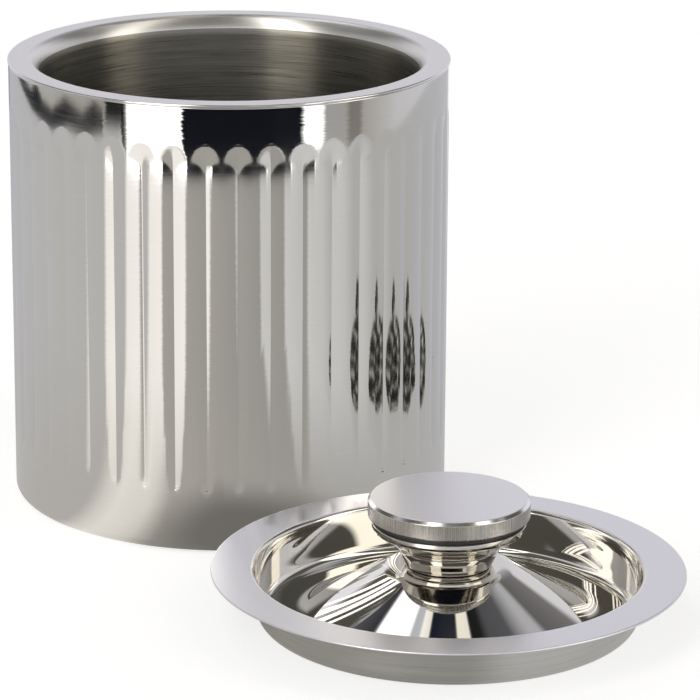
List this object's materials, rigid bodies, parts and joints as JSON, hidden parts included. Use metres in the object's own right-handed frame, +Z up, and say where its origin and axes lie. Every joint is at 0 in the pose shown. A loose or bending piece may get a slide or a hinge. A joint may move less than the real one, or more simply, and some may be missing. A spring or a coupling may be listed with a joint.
{
  "type": "ice bucket",
  "caption": "Double-walled reeded steel ice bucket with a polished rim and a separate dished lid carrying a wide flat-topped knob, lid lying beside the bucket.",
  "frame": {"origin": "centre of the bucket's base, on the surface it stands on", "axes": "+Z up along the bucket's axis, -Y towards the front, +X to the right; the lid lies on the same surface at the front right"},
  "size_m": [0.2185, 0.2845, 0.152],
  "materials": {
    "polished_steel": "mirror-polished stainless steel",
    "brushed_steel": "stainless steel brushed round the wall",
    "plain_steel": "plain stainless sheet",
    "lid_steel": "stainless steel, polished well and satin flange",
    "knob_steel": "mirror-polished stainless steel",
    "cap_steel": "satin top with a finely brushed edge",
    "screw_steel": "zinc-plated steel"
  },
  "bodies": {
    "bucket": {"outer_shell": "polished_steel", "inner_liner": "brushed_steel", "base_plate": "plain_steel"},
    "lid": {"lid_pan": "lid_steel", "knob_stem": "knob_steel", "knob_plate": "plain_steel", "knob_cap": "cap_steel", "lid_screw": "screw_steel", "screw_washer": "screw_steel"}
  },
  "joints": [
    {"name": "lid_lift", "type": "slide", "parent": "bucket", "child": "lid", "axis": [0, 0, 1], "range_m": [0, 0.2]}
  ]
}
